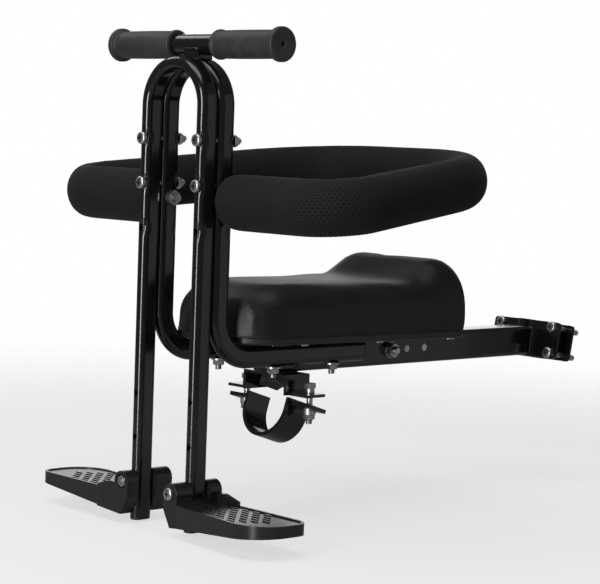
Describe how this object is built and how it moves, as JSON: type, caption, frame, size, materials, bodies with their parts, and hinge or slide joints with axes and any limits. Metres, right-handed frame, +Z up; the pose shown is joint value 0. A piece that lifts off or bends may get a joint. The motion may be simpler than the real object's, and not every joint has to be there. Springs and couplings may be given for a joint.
{
  "type": "front child seat for a bicycle",
  "caption": "Child seat for a bicycle's top tube: twin arches with a short handlebar, padded guard ring, leatherette saddle, beam to a seatpost clamp, and folding footrests.",
  "frame": {"origin": "on the seatpost's axis, at mid height of the seatpost clamp", "axes": "+Z up, +Y to the rear of the bicycle, +X to the rider's left; the seatpost leans back from +Z"},
  "size_m": [0.4236, 0.6011, 0.4739],
  "materials": {
    "black_powder_coat": "gloss black powder coat",
    "zinc_plate": "bright zinc plate",
    "black_rubber": "satin",
    "black_mesh_fabric": "three-dimensional air mesh",
    "black_leatherette": "fine-grained satin",
    "black_plastic": "moulded satin",
    "footrest_plastic": "moulded, polished deck"
  },
  "bodies": {
    "seat_frame": {"arch_bolts": "zinc_plate", "arch_nuts": "zinc_plate", "base_clips": "zinc_plate", "beam_bolt": "zinc_plate", "beam_nut": "zinc_plate", "beam_plug": "black_plastic", "beam_washers": "zinc_plate", "cross_plates": "black_powder_coat", "footrest_bolts": "zinc_plate", "footrest_nuts": "zinc_plate", "front_arch": "black_powder_coat", "guard_nuts": "zinc_plate", "guard_pad": "black_mesh_fabric", "guard_studs": "zinc_plate", "guard_tube": "black_powder_coat", "handlebar_saddle": "black_powder_coat", "handlebar_tube": "black_powder_coat", "left_grip": "black_rubber", "leg_plugs": "black_plastic", "main_beam": "black_powder_coat", "post_clamp_bolts": "zinc_plate", "post_clamp_front": "black_powder_coat", "post_clamp_nuts": "zinc_plate", "post_clamp_rear": "black_powder_coat", "rail_plugs": "black_plastic", "rear_arch": "black_powder_coat", "right_grip": "black_rubber", "seat_base": "black_plastic", "seat_bolts": "zinc_plate", "seat_cushion": "black_leatherette", "seat_nuts": "zinc_plate", "seat_washers": "zinc_plate", "slide_tube": "black_powder_coat", "strap_bolts": "zinc_plate", "strap_nuts": "zinc_plate", "strap_spacers": "zinc_plate", "strap_washers": "zinc_plate", "tube_bracket": "black_powder_coat", "tube_pad": "black_rubber", "tube_strap": "black_powder_coat"},
    "left_footrest": {"left_footrest": "footrest_plastic"},
    "right_footrest": {"right_footrest": "footrest_plastic"}
  },
  "joints": [
    {"name": "left_footrest_fold", "type": "hinge", "parent": "seat_frame", "child": "left_footrest", "pos_m": [0.04, -0.5256, -0.118], "axis": [0, -1, 0], "range_deg": [0, 90]},
    {"name": "right_footrest_fold", "type": "hinge", "parent": "seat_frame", "child": "right_footrest", "pos_m": [-0.04, -0.5256, -0.118], "axis": [0, 1, 0], "range_deg": [0, 90]}
  ]
}
